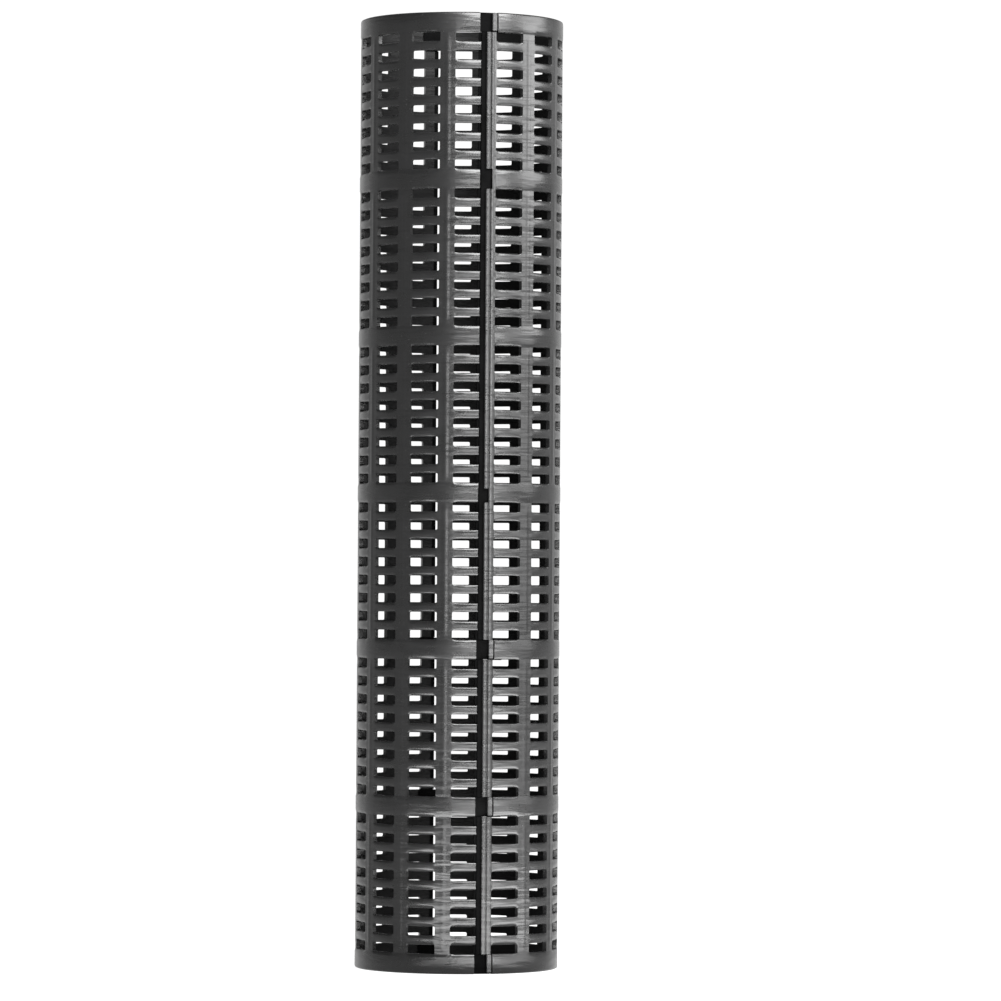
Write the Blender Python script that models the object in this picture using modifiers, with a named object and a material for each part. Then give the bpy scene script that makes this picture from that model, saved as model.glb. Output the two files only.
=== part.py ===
"""Tree guard tube: two half-round slotted shells, joined along two upright seams by snap hooks.

Angles are in degrees round the tube's axis. Zero is the front seam, at -Y, and the angle grows towards +X.
Both shells are one moulding. It is drawn from its tongue edge, at angle zero, round to its rail edge.
"""

import math

import bmesh
import bpy
from mathutils import Matrix, Vector

# Height: bands and slotted sections, counted from the bottom.
HEIGHT = 0.500
BAND_COUNT = 7
SECTION_COUNT = BAND_COUNT - 1
ROWS_PER_SECTION = 8
ROW_PITCH = 0.0095
SLOT_HEIGHT = 0.0048
SECTION_HEIGHT = (ROWS_PER_SECTION - 1) * ROW_PITCH + SLOT_HEIGHT
BAND_HEIGHT = (HEIGHT - SECTION_COUNT * SECTION_HEIGHT) / BAND_COUNT
LEVEL_PITCH = BAND_HEIGHT + SECTION_HEIGHT

# Round the tube: the slot columns of one shell, and how far the second shell is turned from the first.
COLUMN_COUNT = 7
COLUMN_PITCH = 25.66
SLOT_ANGLE = 17.2
FIRST_COLUMN = -8.1
WALL_END = -2.1
SHELL_TURN = 177.36
RAIL_EDGE = -SHELL_TURN

# Wall.
MESH_RADIUS = 0.0533
BAND_RADIUS = 0.0536
WALL = 0.0022

# Seam, with angles measured from the tongue edge's zero, or from RAIL_EDGE for the rail side.
TONGUE_ANGLES = (-3.2, 0.6)
TONGUE_RADII = (0.0502, 0.0516)
LIP_ANGLES = (-1.35, 3.0)
LIP_RADII = (0.0519, 0.0525)
RAIL_START = 0.85
RIDGE_ANGLES = ((1.0, 3.1), (3.9, 6.5))
RIDGE_RADII = (0.0530, 0.0538)

# Snap hooks, one in each of these bands.
HOOK_BANDS = (6, 2, 1, 0)
HOOK_ROOT = -2.9
HOOK_ROOT_GAP = 0.35
HOOK_RADII = (0.0504, 0.0516)
HOOK_HINGE_RADIUS = 0.0510
BARB_ANGLES = (4.5, 6.7)
BARB_RADIUS = 0.0535
HOOK_GAP_ANGLES = (HOOK_ROOT, 1.9)
WINDOW_ANGLES = (-1.9, 8.3)
HOOK_CLEARANCE = 0.0004
ROOT_PAD_ANGLES = (-6.5, HOOK_ROOT)
ROOT_PAD_RADII = (0.0505, 0.0517)

# Plain locating pockets, with no hook: band, the share of its height that is cut, and the rail-side end.
POCKETS = ((5, 1.0, 4.6), (3, 0.7, 3.5))
POCKET_WALL_END = -2.5
PAST_EDGE = 1.0
POCKET_FLOOR_TONGUE = 0.05165
POCKET_FLOOR_RAIL = 0.05245

# The second shell swings open on this axis, in the gap of the rear seam.
REAR_AXIS_ANGLE = 2.2
REAR_AXIS_RADIUS = 0.0520

CUT_INSIDE = 0.048
CUT_OUTSIDE = 0.057
OVERSHOOT = 0.002
FACET = 2.2

BLACK = (0.018, 0.018, 0.019, 1.0)
PLASTIC_ROUGHNESS = 0.38


def clear_scene():
    for old in list(bpy.data.objects):
        bpy.data.objects.remove(old, do_unlink=True)


def make_collection(name):
    collection = bpy.data.collections.new(name)
    bpy.context.scene.collection.children.link(collection)
    return collection


def plastic(name):
    """Black moulded polypropylene."""
    material = bpy.data.materials.new(name)
    material.use_nodes = True
    shader = material.node_tree.nodes["Principled BSDF"]
    shader.inputs["Base Color"].default_value = BLACK
    shader.inputs["Roughness"].default_value = PLASTIC_ROUGHNESS
    shader.inputs["Metallic"].default_value = 0.0
    material.diffuse_color = BLACK
    return material


def ring_point(angle, radius, z=0.0):
    turn = math.radians(angle)
    return Vector((radius * math.sin(turn), -radius * math.cos(turn), z))


def band_span(band):
    bottom = band * LEVEL_PITCH
    return bottom, bottom + BAND_HEIGHT


def arc(radius, first, last):
    """(angle, radius) points along an arc, both ends included."""
    steps = max(1, math.ceil(abs(last - first) / FACET))
    return [(first + (last - first) * step / steps, radius) for step in range(steps + 1)]


def sector(angles, radii, shift=0.0):
    """The outline of a piece of a ring, anticlockwise seen from above."""
    first, last = (angle + shift for angle in angles)
    inner, outer = radii
    return arc(outer, first, last) + arc(inner, last, first)


def outline_curve(name, outlines, bottom, top):
    """A filled 2D curve with one spline for each outline, extruded from bottom to top."""
    curve = bpy.data.curves.new(name, "CURVE")
    curve.dimensions = "2D"
    curve.fill_mode = "BOTH"
    curve.extrude = (top - bottom) / 2
    for outline in outlines:
        spline = curve.splines.new("POLY")
        spline.points.add(len(outline) - 1)
        for point, (angle, radius) in zip(spline.points, outline):
            point.co = (*ring_point(angle, radius), 1.0)
        spline.use_cyclic_u = True
    prism = bpy.data.objects.new(name, curve)
    prism.location.z = (bottom + top) / 2
    bpy.context.scene.collection.objects.link(prism)
    return prism


def prism_mesh(name, parts):
    """One mesh of prisms. Each part is (outlines, bottom, top)."""
    joined = bmesh.new()
    for outlines, bottom, top in parts:
        prism = outline_curve(name, outlines, bottom, top)
        bpy.context.view_layer.update()
        graph = bpy.context.evaluated_depsgraph_get()
        piece = bpy.data.meshes.new_from_object(prism.evaluated_get(graph))
        piece.transform(prism.matrix_world)
        joined.from_mesh(piece)
        bpy.data.meshes.remove(piece)
        bpy.data.objects.remove(prism, do_unlink=True)
    bmesh.ops.remove_doubles(joined, verts=joined.verts, dist=1e-6)
    bmesh.ops.recalc_face_normals(joined, faces=joined.faces)
    mesh = bpy.data.meshes.new(name)
    joined.to_mesh(mesh)
    joined.free()
    return mesh


def height_lines():
    """Every height where a band, bar or slot begins, from the bottom rim to the top rim."""
    lines = [0.0]
    for section in range(SECTION_COUNT):
        start = section * LEVEL_PITCH + BAND_HEIGHT
        for row in range(ROWS_PER_SECTION):
            lines += [start + row * ROW_PITCH, start + row * ROW_PITCH + SLOT_HEIGHT]
    return lines + [HEIGHT]


def angle_lines():
    """Every angle where a rib or slot column begins, from the rail edge to the tongue edge."""
    lines = [WALL_END]
    for column in range(COLUMN_COUNT):
        centre = FIRST_COLUMN - column * COLUMN_PITCH
        if column:
            lines.append(centre + SLOT_ANGLE / 2)
        lines.append(centre - SLOT_ANGLE / 2)
    lines.append(RAIL_EDGE + RAIL_START)
    return sorted(lines)


def wall_mesh():
    """The slotted wall's outer surface: a grid bent round the axis, with its slot faces taken out."""
    angles = angle_lines()
    heights = height_lines()
    columns = len(angles) - 1
    rows = len(heights) - 1
    band_every = 2 * ROWS_PER_SECTION
    wall = bmesh.new()
    bmesh.ops.create_grid(wall, x_segments=columns, y_segments=rows, size=0.5)
    cells = {}
    for face in wall.faces:
        centre = face.calc_center_median()
        column = int((centre.x + 0.5) * columns)
        row = int((centre.y + 0.5) * rows)
        cells[face] = (column, row)
    for vertex in wall.verts:
        line = round((vertex.co.x + 0.5) * columns)
        level = round((vertex.co.y + 0.5) * rows)
        on_band = level in (0, rows) or level % band_every in (0, 1)
        radius = BAND_RADIUS if on_band else MESH_RADIUS
        vertex.co = ring_point(angles[line], radius, heights[level])
    slots = [
        face
        for face, (column, row) in cells.items()
        if column % 2 == 1 and row % band_every and row % 2 == 1
    ]
    bmesh.ops.delete(wall, geom=slots, context="FACES")
    mesh = bpy.data.meshes.new("slotted_wall")
    wall.to_mesh(mesh)
    wall.free()
    return mesh


def additions_mesh():
    """Tongue, lip and the two ridges of the rail, at full height."""
    outlines = [sector(TONGUE_ANGLES, TONGUE_RADII), sector(LIP_ANGLES, LIP_RADII, RAIL_EDGE)]
    outlines += [sector(ridge, RIDGE_RADII, RAIL_EDGE) for ridge in RIDGE_ANGLES]
    return prism_mesh("seam_edges", [(outlines, 0.0, HEIGHT)])


def root_pads_mesh():
    pad = sector(ROOT_PAD_ANGLES, ROOT_PAD_RADII)
    parts = []
    for band in HOOK_BANDS:
        bottom, top = band_span(band)
        parts.append(([pad], bottom + HOOK_CLEARANCE, top - HOOK_CLEARANCE))
    return prism_mesh("root_pads", parts)


def cuts_mesh():
    """Hook gaps and windows, and the plain pockets."""
    through = (CUT_INSIDE, CUT_OUTSIDE)
    hook_gap = sector(HOOK_GAP_ANGLES, through)
    window = sector(WINDOW_ANGLES, through, RAIL_EDGE)
    parts = []
    for band in HOOK_BANDS:
        bottom, top = band_span(band)
        low = -OVERSHOOT if band == 0 else bottom - HOOK_CLEARANCE
        high = HEIGHT + OVERSHOOT if band == BAND_COUNT - 1 else top + HOOK_CLEARANCE
        parts.append(([hook_gap, window], low, high))
    for band, share, rail_end in POCKETS:
        bottom, top = band_span(band)
        high = bottom + share * BAND_HEIGHT if share < 1 else top + HOOK_CLEARANCE
        tongue_cut = (POCKET_WALL_END, WALL_END + PAST_EDGE)
        rail_cut = (RAIL_START - PAST_EDGE, rail_end)
        tongue_side = sector(tongue_cut, (POCKET_FLOOR_TONGUE, CUT_OUTSIDE))
        rail_side = sector(rail_cut, (POCKET_FLOOR_RAIL, CUT_OUTSIDE), RAIL_EDGE)
        parts.append(([tongue_side, rail_side], bottom - HOOK_CLEARANCE, high))
    return prism_mesh("seam_cuts", parts)


def helper(name, mesh, turn, cutters):
    """A hidden Boolean operand."""
    operand = bpy.data.objects.new(name, mesh)
    operand.rotation_euler.z = turn
    operand.hide_render = True
    operand.display_type = "WIRE"
    cutters.objects.link(operand)
    return operand


def add_boolean(target, operand, operation):
    boolean = target.modifiers.new(operand.name, "BOOLEAN")
    boolean.operation = operation
    boolean.object = operand
    boolean.solver = "EXACT"


def put(piece, turn, origin, parent=None):
    """Turns a piece drawn round the tube's axis into place, with its own origin at the given point."""
    piece.data.transform(Matrix.Translation(-origin))
    spin = Matrix.Rotation(turn, 4, "Z")
    place = spin @ Matrix.Translation(origin)
    if parent:
        piece.parent = parent
        place = Matrix.Translation(-parent.location) @ place
    piece.matrix_basis = place


def make_shell(name, turn, origin, parent, parts, cutters):
    shell = bpy.data.objects.new(name, wall_mesh())
    parts.objects.link(shell)
    shell.data.materials.append(plastic(name + "_plastic"))
    put(shell, turn, origin, parent)
    thick = shell.modifiers.new("wall", "SOLIDIFY")
    thick.thickness = WALL
    thick.offset = -1
    thick.use_even_offset = True
    operands = (("edges", additions_mesh(), "UNION"), ("cuts", cuts_mesh(), "DIFFERENCE"))
    operands += (("pads", root_pads_mesh(), "UNION"),)
    for kind, mesh, operation in operands:
        operand = helper(name + "_" + kind, mesh, turn, cutters)
        add_boolean(shell, operand, operation)
    return shell


def hook_outline():
    """A thin finger from its root to a barb that stands out as far as the shell's face."""
    inner, outer = HOOK_RADII
    root = HOOK_ROOT + HOOK_ROOT_GAP
    neck_end, tip = BARB_ANGLES
    outline = arc(outer, root, neck_end)
    outline += arc(BARB_RADIUS, neck_end, tip)
    outline += arc(inner, tip, root)
    return outline


def make_hook(name, band, turn, parent, parts):
    bottom, top = band_span(band)
    mesh = prism_mesh(name, [([hook_outline()], bottom + HOOK_CLEARANCE, top - HOOK_CLEARANCE)])
    hook = bpy.data.objects.new(name, mesh)
    parts.objects.link(hook)
    hook.data.materials.append(plastic(name + "_plastic"))
    middle = (bottom + top) / 2
    put(hook, turn, ring_point(HOOK_ROOT + HOOK_ROOT_GAP, HOOK_HINGE_RADIUS, middle), parent)
    return hook


def rear_axis(parts):
    """An empty on the rear seam's swing axis, which carries the second shell and its hooks."""
    axis = bpy.data.objects.new("rear_seam_axis", None)
    axis.location = ring_point(REAR_AXIS_ANGLE + SHELL_TURN, REAR_AXIS_RADIUS)
    parts.objects.link(axis)
    return axis


def main():
    clear_scene()
    parts = make_collection("tree_guard_tube")
    cutters = make_collection("cutters")
    turn = math.radians(SHELL_TURN)
    axis = rear_axis(parts)
    make_shell("left_half_shell", 0.0, Vector((0, 0, 0)), None, parts, cutters)
    moving_origin = ring_point(REAR_AXIS_ANGLE, REAR_AXIS_RADIUS)
    make_shell("right_half_shell", turn, moving_origin, axis, parts, cutters)
    for number, band in enumerate(HOOK_BANDS, start=1):
        make_hook(f"front_hook_{number}", band, 0.0, None, parts)
        make_hook(f"rear_hook_{number}", band, turn, axis, parts)


main()
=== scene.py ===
"""Looks of the tree guard tube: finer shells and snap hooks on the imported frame, in a white studio.

Angles are in degrees round the tube's axis. Zero is the front seam, at -Y, and the angle grows towards +X.
Lengths are in metres.
"""

import math

import bmesh
import bpy
import numpy as np
from mathutils import Matrix, Vector


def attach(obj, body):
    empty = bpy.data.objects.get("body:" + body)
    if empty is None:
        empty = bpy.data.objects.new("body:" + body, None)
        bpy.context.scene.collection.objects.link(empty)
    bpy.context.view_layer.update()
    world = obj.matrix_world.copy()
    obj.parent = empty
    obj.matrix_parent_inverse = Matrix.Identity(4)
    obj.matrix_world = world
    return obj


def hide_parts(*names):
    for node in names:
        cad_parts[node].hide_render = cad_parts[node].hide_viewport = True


# The moulding, as in the CAD source.
HEIGHT = 0.500
BAND_COUNT = 7
SECTION_COUNT = BAND_COUNT - 1
ROWS = 8
ROW_PITCH = 0.0095
SLOT_HEIGHT = 0.0048
SECTION_HEIGHT = (ROWS - 1) * ROW_PITCH + SLOT_HEIGHT
BAND_HEIGHT = (HEIGHT - SECTION_COUNT * SECTION_HEIGHT) / BAND_COUNT
LEVEL_PITCH = BAND_HEIGHT + SECTION_HEIGHT
COLUMN_COUNT = 7
COLUMN_PITCH = 25.66
SLOT_ANGLE = 17.2
FIRST_COLUMN = -8.1
WALL_END = -2.1
SHELL_TURN = 177.36
RAIL_EDGE = -SHELL_TURN
MESH_RADIUS = 0.0533
BAND_RADIUS = 0.0536
INNER_RADIUS = 0.0511
HOOK_BANDS = (6, 2, 1, 0)
CLEARANCE = 0.00005

# Fine shape that the CAD leaves out: the bars' rounded edges, which fade out over BAR_FILLET at a rib, the
# slots' corners, the ridge down each rib, the rims and the wall's end beside the groove.
SLOT_ROUND = 0.0018
SLOT_DROP = 0.0009
SLOT_ROUND_LINES = (0.00025, 0.0008, 0.0018)
BAR_FILLET = 0.0022
CORNER = 0.0006
CORNER_SHIFT = 0.29 * CORNER
RIB_STRIP_LIFT = 0.00020
RIB_STRIP_HALF = 0.0021
RIB_STRIP_STEPS = 5
RIB_STRIP_GAP = 0.0009
RIM_ROUND = 0.0010
END_ROUND = 0.0003

# How finely curves are cut up, and the angle from which an edge is shaded as sharp.
ARC_STEP = 2.1
PRISM_STEP = 1.1
SHARP_ANGLE = math.radians(48)
BEVEL_ANGLE = math.radians(30)
EDGE_ROUND = 0.00022

# The rail beside the groove: angle from the rail edge, and radius.
RAIL_PROFILE = (
    (0.85, 0.0531),
    (0.97, 0.0536),
    (1.20, 0.0538),
    (2.95, 0.0538),
    (3.20, 0.0536),
    (3.40, 0.0533),
    (3.60, 0.0533),
    (3.80, 0.0536),
    (4.05, 0.0538),
    (6.20, 0.0538),
    (6.50, 0.0535),
)

# The seam: first and last angle, then inner and outer radius. The toe is the tongue's thin end. The lip and
# the window are measured from the rail edge.
TONGUE = ((-3.2, 0.6), (0.0502, 0.0516))
TONGUE_TOE = (2.8, 0.0507)
LIP = ((-1.75, 3.0), (0.0519, 0.0525))
ROOT_PAD = ((-6.5, -2.9), (0.0505, 0.0517))
HOOK_GAP = (-2.9, 1.9)
WINDOW = (-1.9, 7.7)

# Plain bands without a hook have a shallow pocket: band, share of its height, last angle from the rail edge.
POCKETS = ((5, 1.0, 4.6), (3, 0.7, 3.5))
POCKET_WALL_END = -2.5
POCKET_FLOOR = 0.05245
POCKET_STEP_ANGLE = 0.08
POCKET_STEP_HEIGHT = 0.00008

# The snap hooks: a finger, a barb that fills the window, and a thin nose inside the other shell's wall.
HOOK_ROOT = -2.55
HOOK_RADII = (0.0504, 0.0516)
BARB_ANGLES = (4.4, 6.95)
BARB_RADIUS = 0.0537
BARB_FOOT = 0.0007
BARB_HEAD = 0.0002
NOSE_END = 13.6
NOSE_OVERLAP = 0.0003
NOSE_INSET = 0.0001
NOSE_RADIUS = 0.0509
# A hook's faces inside this skin over its finger's outer radius get the seam material, a painted shade.
FINGER_SKIN = 0.0002

# Material slots of every piece: the face, then the inside and the seam, whose darker, duller copies of the
# plastic paint the shade inside the tube and in the seam's groove and recesses.
FACE, INSIDE_PAINTED_SHADE, SEAM_PAINTED_SHADE = range(3)

# Black plastic: scales of its patterns, per metre, and how high each stands in the relief.
RIPPLE_SCALE = 42.0
MOTTLE_SCALE = 55.0
SCUFF_SCALE = 95.0
DUST_SCALE = 260.0
SKIN_SCALE = 900.0
ROUND_STRETCH = 7.0
RIPPLE_HEIGHT = 20.0
SKIN_HEIGHT = 0.2
BUMP_STRENGTH = 0.25
BUMP_DISTANCE = 0.0001
DUST_COLOUR = (0.03, 0.03, 0.03, 1.0)

# Sockets of a colour mix node, whose names repeat.
MIX_A, MIX_B, MIX_RESULT = 6, 7, 2

# Camera, as an azimuth round the tube, a distance and height, then how far it turns from facing the axis.
CAMERA_AZIMUTH = -13.05
CAMERA_DISTANCE = 2.835
CAMERA_HEIGHT = 0.202
CAMERA_YAW = -0.444
CAMERA_PITCH = 0.904
CAMERA_ROLL = 0.37
CAMERA_LENS = 192.7
SENSOR = 36.0

# The studio: the sky is white up to the first elevation and CEILING bright from the second.
HORIZON_GLOW = (8.0, 26.0)
CEILING = 0.30
SKY_STRENGTH = 1.05
FLOOR_HALF = 30.0
FLOOR_LEVEL = -0.0002
FLOOR_TONE = 0.12
FLOOR_GLOW = 0.97

# Area lights. Softboxes: azimuth from the camera's, elevation, distance, size, radiance, height aimed at.
SOFTBOXES = {
    "fill_softbox": (60.0, 9.0, 2.0, (2.6, 0.9), 6.0, 0.25),
    "key_softbox": (24.0, 3.2, 1.9, (1.9, 0.30), 28.0, 0.25),
    "high_softbox": (30.0, 43.0, 0.60, (0.5, 0.46), 42.0, 0.41),
    "side_softbox": (85.0, 34.0, 0.7, (0.4, 0.4), 12.0, 0.22),
}
# Light tables: azimuth from the camera's, distance, size, radiance.
LIGHT_TABLES = {
    "low_softbox": (22.0, 0.20, (0.5, 0.22), 22.0),
    "apron_softbox": (30.0, 0.70, (0.9, 0.40), 12.0),
}
TABLE_HEIGHT = 0.001


def ring_point(angle, radius, z=0.0):
    turn = math.radians(angle)
    return Vector((radius * math.sin(turn), -radius * math.cos(turn), z))


def degrees_of(length):
    """The angle that a length takes up round the wall."""
    return math.degrees(length / MESH_RADIUS)


def band_span(band):
    bottom = band * LEVEL_PITCH
    return bottom, bottom + BAND_HEIGHT


def slot_spans():
    """The slots' (bottom, top) heights."""
    spans = []
    for section in range(SECTION_COUNT):
        start = section * LEVEL_PITCH + BAND_HEIGHT
        for row in range(ROWS):
            spans.append((start + row * ROW_PITCH, start + row * ROW_PITCH + SLOT_HEIGHT))
    return spans


def column_spans():
    """The slot columns' (first, last) angles, from the rail edge to the tongue edge."""
    spans = []
    for column in reversed(range(COLUMN_COUNT)):
        centre = FIRST_COLUMN - column * COLUMN_PITCH
        last = centre + SLOT_ANGLE / 2 if column else WALL_END
        spans.append((centre - SLOT_ANGLE / 2, last))
    return spans


def merged(lines, gap):
    """The lines in order, each once."""
    kept = []
    for line in sorted(lines):
        if not kept or line - kept[-1] > gap:
            kept.append(line)
    return np.array(kept)


def angle_lines():
    """The angles of the wall's upright lines of vertices."""
    lines = [RAIL_EDGE + angle for angle, _ in RAIL_PROFILE]
    columns = column_spans()
    corner = degrees_of(CORNER)
    for index, (first, last) in enumerate(columns):
        inner = last - (corner if last != WALL_END else degrees_of(END_ROUND))
        steps = math.ceil((inner - first - corner) / ARC_STEP)
        lines += [first, last]
        lines += list(np.linspace(first + corner, inner, steps + 1))
        fillet = degrees_of(BAR_FILLET / 2)
        lines += [first + fillet, last - fillet]
        if last == WALL_END:
            break
        following = columns[index + 1][0]
        middle = (last + following) / 2
        half = degrees_of(RIB_STRIP_HALF)
        lines += list(np.linspace(middle - half, middle + half, 2 * RIB_STRIP_STEPS + 1))
    lines += [HOOK_GAP[0], RAIL_EDGE + WINDOW[1], POCKET_WALL_END]
    for _, _, rail_end in POCKETS:
        lines += [RAIL_EDGE + rail_end, RAIL_EDGE + rail_end + POCKET_STEP_ANGLE]
    return merged(lines, 0.01)


def height_lines():
    """The heights of the wall's level lines of vertices."""
    lines = [0.0, HEIGHT]
    for edge in (RIM_ROUND * 0.3, RIM_ROUND):
        lines += [edge, HEIGHT - edge]
    for bottom, top in slot_spans():
        lines += [bottom, top, bottom + CORNER, top - CORNER]
        for away in SLOT_ROUND_LINES:
            lines += [bottom - away, top + away]
    for band in HOOK_BANDS:
        bottom, top = band_span(band)
        lines += [bottom - CLEARANCE, top + CLEARANCE]
    for band, share, _ in POCKETS:
        low, high = pocket_span(band, share)
        lines += [low - POCKET_STEP_HEIGHT, low, high, high + POCKET_STEP_HEIGHT]
    return merged([line for line in lines if 0 <= line <= HEIGHT], 0.00003)


def pocket_span(band, share):
    """A pocket's (bottom, top) heights."""
    bottom, top = band_span(band)
    high = bottom + share * BAND_HEIGHT if share < 1 else top + CLEARANCE
    return bottom - CLEARANCE, high


def outside(lines, spans):
    """How far each line is outside the nearest span."""
    gaps = [np.maximum(np.maximum(first - lines, lines - last), 0) for first, last in spans]
    return np.min(gaps, axis=0)


def within(lines, spans):
    """True for the lines that are inside a span and not on its ends."""
    found = [(lines > first + 1e-6) & (lines < last - 1e-6) for first, last in spans]
    return np.any(found, axis=0)


def rounding(distance, radius):
    """How far a rounded edge has dropped at this distance from it."""
    inward = radius - np.clip(distance, 0, radius)
    return radius - np.sqrt(radius**2 - inward**2)


def wall_radii(angles, heights):
    """The outer radius at every crossing of the lines."""
    on_rail = angles <= RAIL_EDGE + RAIL_PROFILE[-1][0] + 1e-6
    up = outside(heights, slot_spans())
    edge_drop = rounding(up, SLOT_ROUND) * SLOT_DROP / SLOT_ROUND
    edge_drop[within(heights, slot_spans())] = 0
    drop = bar_share(angles)[:, None] * edge_drop[None, :]
    end = (WALL_END - angles) * math.radians(MESH_RADIUS)
    drop = np.maximum(drop, rounding(end, END_ROUND)[:, None])
    rim = np.minimum(heights, HEIGHT - heights)
    drop = np.maximum(drop, rounding(rim, RIM_ROUND)[None, :])
    step_up = np.where(outside_band(heights) < 1e-7, np.clip(up / SLOT_ROUND, 0, 1), 0)
    base = MESH_RADIUS + (BAND_RADIUS - MESH_RADIUS) * step_up
    radii = np.repeat(base[None, :], len(angles), axis=0)
    radii += strip_lift(angles)[:, None] * (outside_band(heights) > RIB_STRIP_GAP)[None, :]
    profile = np.interp(angles[on_rail] - RAIL_EDGE, *zip(*RAIL_PROFILE))
    radii[on_rail, :] = profile[:, None]
    radii -= drop
    for band, share, rail_end in POCKETS:
        low, high = pocket_span(band, share)
        columns = angles <= RAIL_EDGE + rail_end + 1e-6
        rows = (heights >= low - 1e-7) & (heights <= high + 1e-7)
        radii[np.ix_(columns, rows)] = POCKET_FLOOR
    return radii


def bar_share(angles):
    """0 at a rib, rising to 1 inside a slot column, where the bars have their full rounded section."""
    share = np.zeros(len(angles))
    for first, last in column_spans():
        depth = angles - first
        if last != WALL_END:
            depth = np.minimum(depth, last - angles)
        share = np.maximum(share, np.clip(depth / degrees_of(BAR_FILLET), 0, 1))
    return share**2 * (3 - 2 * share)


def outside_band(heights):
    """How far each height is outside the nearest plain band."""
    return outside(heights, [band_span(b) for b in range(BAND_COUNT)])


def strip_lift(angles):
    """The low rounded ridge down the middle of each rib."""
    lift = np.zeros(len(angles))
    columns = column_spans()
    for (_, last), (following, _) in zip(columns, columns[1:]):
        away = np.abs(angles - (last + following) / 2) / degrees_of(RIB_STRIP_HALF)
        lift += RIB_STRIP_LIFT * (1 + np.cos(np.pi * np.clip(away, 0, 1))) / 2
    return lift


def pocket_floor(angles, heights):
    """True for the faces in the pockets' floors and steps."""
    middle_a = (angles[:-1] + angles[1:]) / 2
    middle_h = (heights[:-1] + heights[1:]) / 2
    found = np.zeros((len(middle_a), len(middle_h)), bool)
    for band, share, rail_end in POCKETS:
        low, high = pocket_span(band, share)
        rows = (middle_h > low - POCKET_STEP_HEIGHT) & (middle_h < high + POCKET_STEP_HEIGHT)
        columns = middle_a < RAIL_EDGE + rail_end + POCKET_STEP_ANGLE
        found |= columns[:, None] & rows[None, :]
    return found


def kept_faces(angles, heights):
    """True where the wall has a face between four lines."""
    middle_a = (angles[:-1] + angles[1:]) / 2
    middle_h = (heights[:-1] + heights[1:]) / 2
    in_column = outside(middle_a, column_spans()) == 0
    in_slot = outside(middle_h, slot_spans()) == 0
    kept = ~(in_column[:, None] & in_slot[None, :])
    for band in HOOK_BANDS:
        bottom, top = band_span(band)
        rows = (middle_h > bottom - CLEARANCE) & (middle_h < top + CLEARANCE)
        columns = (middle_a > HOOK_GAP[0]) | (middle_a < RAIL_EDGE + WINDOW[1])
        kept &= ~(columns[:, None] & rows[None, :])
    for band, share, _ in POCKETS:
        low, high = pocket_span(band, share)
        rows = (middle_h > low) & (middle_h < high)
        kept &= ~((middle_a > POCKET_WALL_END)[:, None] & rows[None, :])
    return kept


def shifted_corners(angles, heights):
    """Every crossing's angle and height, with the slots' corners pulled in so that they look round."""
    grid_a = np.repeat(angles[:, None], len(heights), axis=1)
    grid_h = np.repeat(heights[None, :], len(angles), axis=0)
    turn = degrees_of(CORNER_SHIFT)
    for first, last in column_spans():
        sides = [(first, 1)] + ([(last, -1)] if last != WALL_END else [])
        for line, way in sides:
            column = int(np.argmin(np.abs(angles - line)))
            for bottom, top in slot_spans():
                for height, up in ((bottom, 1), (top, -1)):
                    row = int(np.argmin(np.abs(heights - height)))
                    grid_a[column, row] += way * turn
                    grid_h[column, row] += up * CORNER_SHIFT
    return grid_a, grid_h


def wall_geometry():
    """The slotted wall: vertices, faces, how many faces come before the inside ones, and the pockets'."""
    angles, heights = angle_lines(), height_lines()
    grid_a, grid_h = shifted_corners(angles, heights)
    radii = wall_radii(angles, heights)
    turn = np.radians(grid_a)
    layers = []
    for radius in (radii, np.full_like(radii, INNER_RADIUS)):
        layers.append(np.stack([radius * np.sin(turn), -radius * np.cos(turn), grid_h], -1))
    kept = kept_faces(angles, heights)
    count = len(heights)
    inside_from = len(angles) * count
    padded = np.pad(kept, 1)
    outer, rims, inner, pocket_faces = [], [], [], []
    in_pocket = pocket_floor(angles, heights)
    for i, j in np.argwhere(kept):
        a = int(i * count + j)
        b = int((i + 1) * count + j)
        ring = (a, b, b + 1, a + 1)
        if in_pocket[i, j]:
            pocket_faces.append(len(outer))
        outer.append(ring)
        inner.append(tuple(v + inside_from for v in reversed(ring)))
        neighbours = (
            padded[i + 1, j],
            padded[i + 2, j + 1],
            padded[i + 1, j + 2],
            padded[i, j + 1],
        )
        for side, joined in enumerate(neighbours):
            if not joined:
                u, v = ring[side], ring[(side + 1) % 4]
                rims.append((v, u, u + inside_from, v + inside_from))
    points = np.concatenate([layer.reshape(-1, 3) for layer in layers])
    faces = outer + rims + inner
    used = np.unique(np.array(faces))
    index = np.full(len(points), -1)
    index[used] = np.arange(len(used))
    return points[used], index[np.array(faces)], len(outer) + len(rims), pocket_faces


def arc(radius, first, last):
    """(angle, radius) points along an arc."""
    steps = max(1, math.ceil(abs(last - first) / PRISM_STEP))
    return [(first + (last - first) * step / steps, radius) for step in range(steps + 1)]


def sector(angles, radii, shift=0.0):
    """The outline between two angles and two radii."""
    first, last = (angle + shift for angle in angles)
    return arc(radii[1], first, last) + arc(radii[0], last, first)


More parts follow.
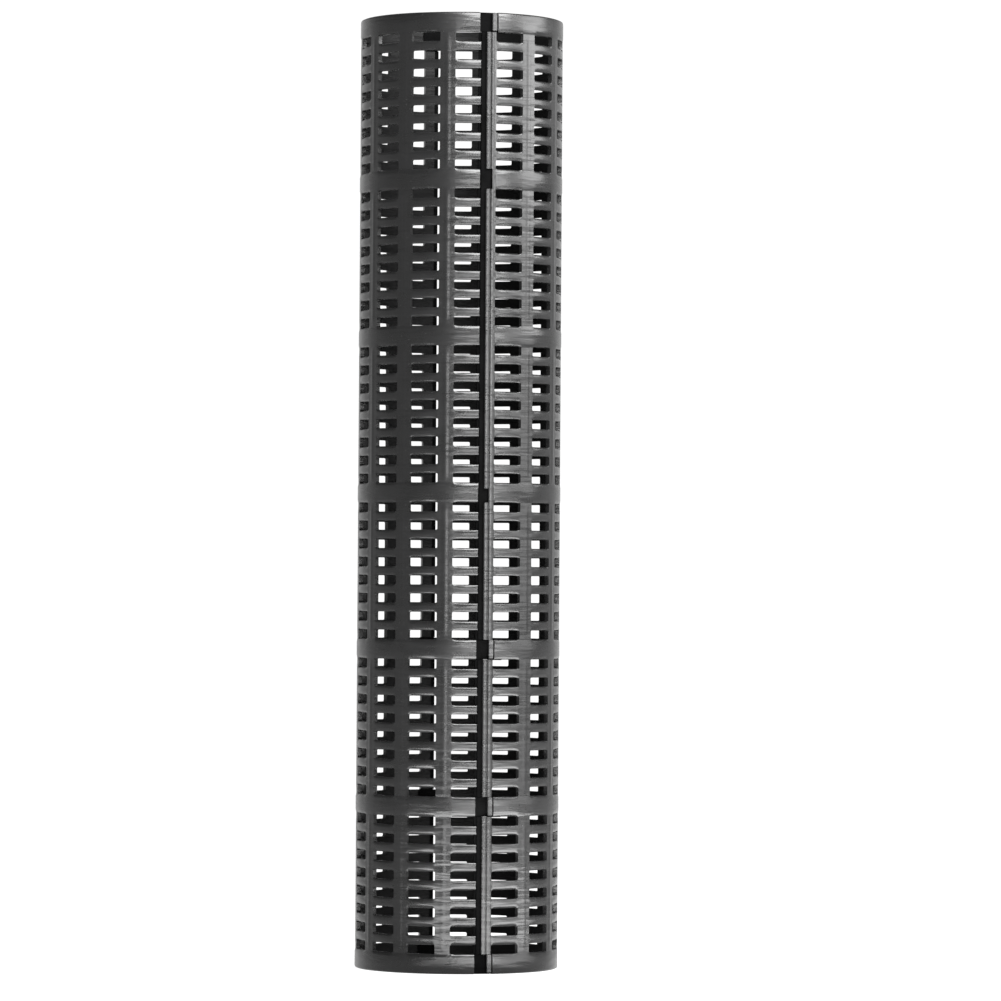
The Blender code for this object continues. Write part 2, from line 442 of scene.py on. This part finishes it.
def add_prism(build, outline, bottom, top, material):
    """A rounded prism on this outline, added to the mesh that is being built."""
    prism = bmesh.new()
    low = [prism.verts.new(ring_point(a, r, bottom)) for a, r in outline]
    high = [prism.verts.new(ring_point(a, r, top)) for a, r in outline]
    count = len(outline)
    prism.faces.new(high)
    prism.faces.new(low[::-1])
    for k in range(count):
        n = (k + 1) % count
        prism.faces.new((low[k], low[n], high[n], high[k]))
    prism.normal_update()
    sharp = [edge for edge in prism.edges if edge.calc_face_angle(0) > BEVEL_ANGLE]
    bmesh.ops.bevel(
        prism, geom=sharp, offset=EDGE_ROUND, segments=2, affect="EDGES", clamp_overlap=True
    )
    for face in prism.faces:
        face.material_index = material
    mesh = bpy.data.meshes.new("prism")
    prism.to_mesh(mesh)
    prism.free()
    build.from_mesh(mesh)
    bpy.data.meshes.remove(mesh)


def spans_between(cut_bands):
    """The heights left of the full height when these bands are taken out of it."""
    spans, start = [], 0.0
    for band in sorted(cut_bands):
        bottom, top = band_span(band)
        if bottom - CLEARANCE > start:
            spans.append((start, bottom - CLEARANCE))
        start = top + CLEARANCE
    if start < HEIGHT:
        spans.append((start, HEIGHT))
    return spans


def tongue_outline():
    (root, end), (inner, outer) = TONGUE
    toe_end, toe_radius = TONGUE_TOE
    return arc(outer, root, end) + arc(toe_radius, end, toe_end) + arc(inner, toe_end, root)


def shell_mesh(name, turn):
    """A half shell: its wall, tongue, lip and the pads at the hooks' roots."""
    points, faces, outer_count, pocket_faces = wall_geometry()
    mesh = bpy.data.meshes.new(name)
    mesh.from_pydata(points.tolist(), [], faces.tolist())
    build = bmesh.new()
    build.from_mesh(mesh)
    build.faces.ensure_lookup_table()
    # Painted shade: the inside faces, the pockets' floors and the tongue, lip and pads below take the
    # darker, duller inside and seam materials.
    for face in build.faces[outer_count:]:
        face.material_index = INSIDE_PAINTED_SHADE
    for index in pocket_faces:
        build.faces[index].material_index = SEAM_PAINTED_SHADE
    for bottom, top in spans_between(HOOK_BANDS):
        add_prism(build, tongue_outline(), bottom, top, SEAM_PAINTED_SHADE)
        add_prism(build, sector(*LIP, RAIL_EDGE), bottom, top, SEAM_PAINTED_SHADE)
    for band in HOOK_BANDS:
        bottom, top = band_span(band)
        add_prism(build, sector(*ROOT_PAD), bottom + CLEARANCE, top - CLEARANCE, SEAM_PAINTED_SHADE)
    build.to_mesh(mesh)
    build.free()
    finish_mesh(mesh, turn)
    return mesh


def finish_mesh(mesh, turn):
    """Turns the mesh to its place and shades it smooth."""
    mesh.transform(Matrix.Rotation(turn, 4, "Z"))
    mesh.polygons.foreach_set("use_smooth", [True] * len(mesh.polygons))
    mesh.set_sharp_from_angle(angle=SHARP_ANGLE)
    mesh.update()


def hook_mesh(name, band, turn):
    """A snap hook: only its barb, which shows outside, has the face's material; its finger and nose have the
    seam's near-black, matte material, a painted shade.
    """
    bottom, top = band_span(band)
    inner, outer = HOOK_RADII
    neck_end, tip = BARB_ANGLES
    finger = sector((HOOK_ROOT, tip), HOOK_RADII)
    barb = sector((neck_end, tip), (outer - EDGE_ROUND * 2, BARB_RADIUS))
    nose = sector((neck_end, NOSE_END), (inner + NOSE_INSET, NOSE_RADIUS))
    nose_bottom = max(bottom - NOSE_OVERLAP, CLEARANCE)
    nose_top = min(top + NOSE_OVERLAP, HEIGHT - CLEARANCE)
    build = bmesh.new()
    add_prism(build, finger, bottom + CLEARANCE, top - CLEARANCE, FACE)
    add_prism(build, barb, bottom + BARB_FOOT, top - BARB_HEAD, FACE)
    add_prism(build, nose, nose_bottom, nose_top, FACE)
    # Painted shade: the finger and nose take the near-black seam material.
    for face in build.faces:
        centre = face.calc_center_median()
        if math.hypot(centre.x, centre.y) < outer + FINGER_SKIN:
            face.material_index = SEAM_PAINTED_SHADE
    mesh = bpy.data.meshes.new(name)
    build.to_mesh(mesh)
    build.free()
    finish_mesh(mesh, turn)
    return mesh


def add_piece(name, mesh, materials, body, node):
    """A visible piece that rides on a body and stands in for a CAD node."""
    for material in materials:
        mesh.materials.append(material)
    piece = bpy.data.objects.new(name, mesh)
    bpy.context.scene.collection.objects.link(piece)
    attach(piece, body)
    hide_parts(node)


class Nodes:
    """A short way to write a material's nodes."""

    def __init__(self, name):
        self.material = bpy.data.materials.new(name)
        self.material.use_nodes = True
        self.tree = self.material.node_tree
        self.shader = self.tree.nodes["Principled BSDF"]

    def add(self, kind, inputs=(), **settings):
        node = self.tree.nodes.new(kind)
        for key, value in settings.items():
            setattr(node, key, value)
        for key, value in dict(inputs).items():
            if isinstance(value, bpy.types.NodeSocket):
                self.tree.links.new(value, node.inputs[key])
            else:
                node.inputs[key].default_value = value
        return node

    def noise(self, place, scale, detail=3.0, rough=0.5):
        inputs = {"Vector": place, "Scale": scale, "Detail": detail, "Roughness": rough}
        return self.add("ShaderNodeTexNoise", inputs).outputs["Fac"]

    def spread(self, value, low, high, to_low, to_high):
        inputs = {
            "Value": value,
            "From Min": low,
            "From Max": high,
            "To Min": to_low,
            "To Max": to_high,
        }
        return self.add("ShaderNodeMapRange", inputs).outputs["Result"]

    def sum(self, first, second):
        return self.add("ShaderNodeMath", {0: first, 1: second}, operation="ADD").outputs["Value"]

    def scaled(self, value, factor):
        inputs = {0: value, 1: factor}
        return self.add("ShaderNodeMath", inputs, operation="MULTIPLY").outputs["Value"]

    def link(self, output, name):
        self.tree.links.new(output, self.shader.inputs[name])

    def set(self, name, value):
        self.shader.inputs[name].default_value = value


def plastic(name, dark, light, roughness, specular, specks):
    """Black moulded polypropylene: faint mottling, a fine orange-peel skin, light scuffs and dust. Darker,
    duller copies of it paint shade inside the tube and in the seam.
    """
    nodes = Nodes(name)
    place = nodes.add("ShaderNodeTexCoord").outputs["Object"]
    mapping = {"Vector": place, "Scale": (1.0, 1.0, ROUND_STRETCH)}
    stretched = nodes.add("ShaderNodeMapping", mapping).outputs["Vector"]
    ripple = nodes.noise(stretched, RIPPLE_SCALE, 2.0, 0.5)
    mottle = nodes.noise(place, MOTTLE_SCALE, 4.0, 0.6)
    scuff = nodes.noise(stretched, SCUFF_SCALE, 5.0, 0.65)
    skin = nodes.noise(place, SKIN_SCALE, 2.0, 0.5)
    cells = {"Vector": place, "Scale": DUST_SCALE, "Randomness": 1.0}
    dots = nodes.add("ShaderNodeTexVoronoi", cells).outputs["Distance"]
    dust = nodes.spread(dots, 0.05, 0.09, specks, 0.0)

    shade = nodes.spread(mottle, 0.3, 0.7, 0.0, 1.0)
    ramp = nodes.add("ShaderNodeValToRGB", {"Fac": shade})
    ramp.color_ramp.elements[0].color = (dark, dark, dark, 1.0)
    ramp.color_ramp.elements[1].color = (light, light, light * 1.02, 1.0)
    dusty_inputs = {"Factor": dust, MIX_A: ramp.outputs["Color"], MIX_B: DUST_COLOUR}
    dusty = nodes.add("ShaderNodeMix", dusty_inputs, data_type="RGBA")
    nodes.link(dusty.outputs[MIX_RESULT], "Base Color")

    gloss = nodes.spread(mottle, 0.3, 0.7, roughness - 0.03, roughness + 0.03)
    worn = nodes.spread(scuff, 0.55, 0.75, 0.0, 0.07)
    nodes.link(nodes.sum(gloss, worn), "Roughness")
    nodes.set("Specular IOR Level", specular)

    relief = nodes.sum(nodes.scaled(skin, SKIN_HEIGHT), scuff)
    relief = nodes.sum(relief, nodes.scaled(ripple, RIPPLE_HEIGHT))
    bump_inputs = {"Height": relief, "Strength": BUMP_STRENGTH, "Distance": BUMP_DISTANCE}
    bump = nodes.add("ShaderNodeBump", bump_inputs)
    nodes.link(bump.outputs["Normal"], "Normal")
    return nodes.material


def studio_white(name, tone):
    """The floor's white, which glows a little so that it meets the sky without a line."""
    nodes = Nodes(name)
    place = nodes.add("ShaderNodeTexCoord").outputs["Object"]
    grain = nodes.noise(place, 3.0, 2.0, 0.5)
    ramp = nodes.add("ShaderNodeValToRGB", {"Fac": grain})
    ramp.color_ramp.elements[0].color = (tone * 0.995, tone * 0.995, tone * 0.995, 1.0)
    ramp.color_ramp.elements[1].color = (tone, tone, tone, 1.0)
    nodes.link(ramp.outputs["Color"], "Base Color")
    nodes.set("Roughness", 0.9)
    nodes.set("Specular IOR Level", 0.1)
    nodes.set("Emission Color", (1.0, 1.0, 1.0, 1.0))
    nodes.set("Emission Strength", FLOOR_GLOW)
    return nodes.material


def add_floor():
    mesh = bpy.data.meshes.new("floor")
    sides = ((-1, -1), (1, -1), (1, 1), (-1, 1))
    corners = [(x * FLOOR_HALF, y * FLOOR_HALF, FLOOR_LEVEL) for x, y in sides]
    mesh.from_pydata(corners, [], [(0, 1, 2, 3)])
    mesh.materials.append(studio_white("floor_white", FLOOR_TONE))
    floor = bpy.data.objects.new("floor", mesh)
    bpy.context.scene.collection.objects.link(floor)


def add_world():
    """A sky that is white at the horizon and grey overhead."""
    world = bpy.data.worlds.new("studio")
    world.use_nodes = True
    tree = world.node_tree
    background = tree.nodes["Background"]
    background.inputs["Strength"].default_value = SKY_STRENGTH
    place = tree.nodes.new("ShaderNodeTexCoord")
    split = tree.nodes.new("ShaderNodeSeparateXYZ")
    tree.links.new(place.outputs["Generated"], split.inputs["Vector"])
    ramp = tree.nodes.new("ShaderNodeValToRGB")
    tree.links.new(split.outputs["Z"], ramp.inputs["Fac"])
    tree.links.new(ramp.outputs["Color"], background.inputs["Color"])
    ramp.color_ramp.interpolation = "EASE"
    for stop, elevation, tone in zip(ramp.color_ramp.elements, HORIZON_GLOW, (1.0, CEILING)):
        stop.position = math.sin(math.radians(elevation))
        stop.color = (tone, tone, tone, 1.0)
    bpy.context.scene.world = world


def add_area_light(name, size, radiance, location, rotation):
    light = bpy.data.lights.new(name, "AREA")
    light.shape = "RECTANGLE"
    light.size, light.size_y = size
    light.energy = radiance * math.pi * size[0] * size[1]
    lamp = bpy.data.objects.new(name, light)
    lamp.location = location
    lamp.rotation_euler = rotation
    lamp.visible_camera = False
    bpy.context.scene.collection.objects.link(lamp)


def add_softbox(name, azimuth, elevation, distance, size, radiance, target):
    """An area light that faces the tube's axis at the target height."""
    turn, lift = math.radians(azimuth + CAMERA_AZIMUTH), math.radians(elevation)
    back = Vector(
        (math.sin(turn) * math.cos(lift), -math.cos(turn) * math.cos(lift), math.sin(lift))
    )
    location = Vector((0, 0, target)) + back * distance
    rotation = (-back).to_track_quat("-Z", "Y").to_euler()
    add_area_light(name, size, radiance, location, rotation)


def add_light_table(name, azimuth, distance, size, radiance):
    """An area light that lies on the floor in front of the tube and faces up."""
    location = ring_point(azimuth + CAMERA_AZIMUTH, distance, TABLE_HEIGHT)
    rotation = (math.pi, 0, math.radians(azimuth + CAMERA_AZIMUTH))
    add_area_light(name, size, radiance, location, rotation)


def add_camera():
    data = bpy.data.cameras.new("camera")
    data.lens = CAMERA_LENS
    data.sensor_width = SENSOR
    data.clip_start, data.clip_end = 0.1, 100.0
    camera = bpy.data.objects.new("camera", data)
    place = ring_point(CAMERA_AZIMUTH, CAMERA_DISTANCE, CAMERA_HEIGHT)
    heading = Matrix.Rotation(math.radians(CAMERA_AZIMUTH + CAMERA_YAW), 4, "Z")
    pitch = Matrix.Rotation(math.radians(90 + CAMERA_PITCH), 4, "X")
    roll = Matrix.Rotation(math.radians(CAMERA_ROLL), 4, "Z")
    camera.matrix_world = Matrix.Translation(place) @ heading @ pitch @ roll
    bpy.context.scene.collection.objects.link(camera)
    bpy.context.scene.camera = camera


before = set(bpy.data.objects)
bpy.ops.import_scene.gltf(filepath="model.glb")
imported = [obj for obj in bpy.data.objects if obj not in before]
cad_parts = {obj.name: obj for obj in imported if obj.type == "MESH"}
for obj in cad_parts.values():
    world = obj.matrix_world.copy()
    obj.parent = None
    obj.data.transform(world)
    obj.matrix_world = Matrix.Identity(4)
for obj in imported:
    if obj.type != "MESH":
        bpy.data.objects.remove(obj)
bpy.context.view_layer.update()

add_camera()
skins = (
    plastic("black_plastic_face", 0.0025, 0.0040, 0.28, 0.24, 0.3),
    # Painted shade: the inside faces get a darker, duller copy of the plastic.
    plastic("black_plastic_inside_painted_shade", 0.0012, 0.0020, 0.50, 0.06, 0.0),
    # Painted shade: the seam's groove, tongue, lip, pads, pocket floors and the hooks' hidden faces get a
    # near-black, matte copy.
    plastic("black_plastic_seam_painted_shade", 0.001, 0.002, 0.80, 0.0, 0.0),
)

turn_right = math.radians(SHELL_TURN)
for body, turn in (("left_half", 0.0), ("right_half", turn_right)):
    wall = body + "_wall"
    add_piece(wall, shell_mesh(wall, turn), skins, body, body + "_shell")
for number, band in enumerate(HOOK_BANDS, start=1):
    for side, turn in (("front", 0.0), ("rear", turn_right)):
        hook = f"{side}_hook_{number}"
        finger = hook + "_finger"
        add_piece(finger, hook_mesh(finger, band, turn), skins, hook + "_body", hook)

add_floor()
add_world()
for name, placing in SOFTBOXES.items():
    add_softbox(name, *placing)
for name, placing in LIGHT_TABLES.items():
    add_light_table(name, *placing)
bpy.context.scene.view_settings.view_transform = "Standard"
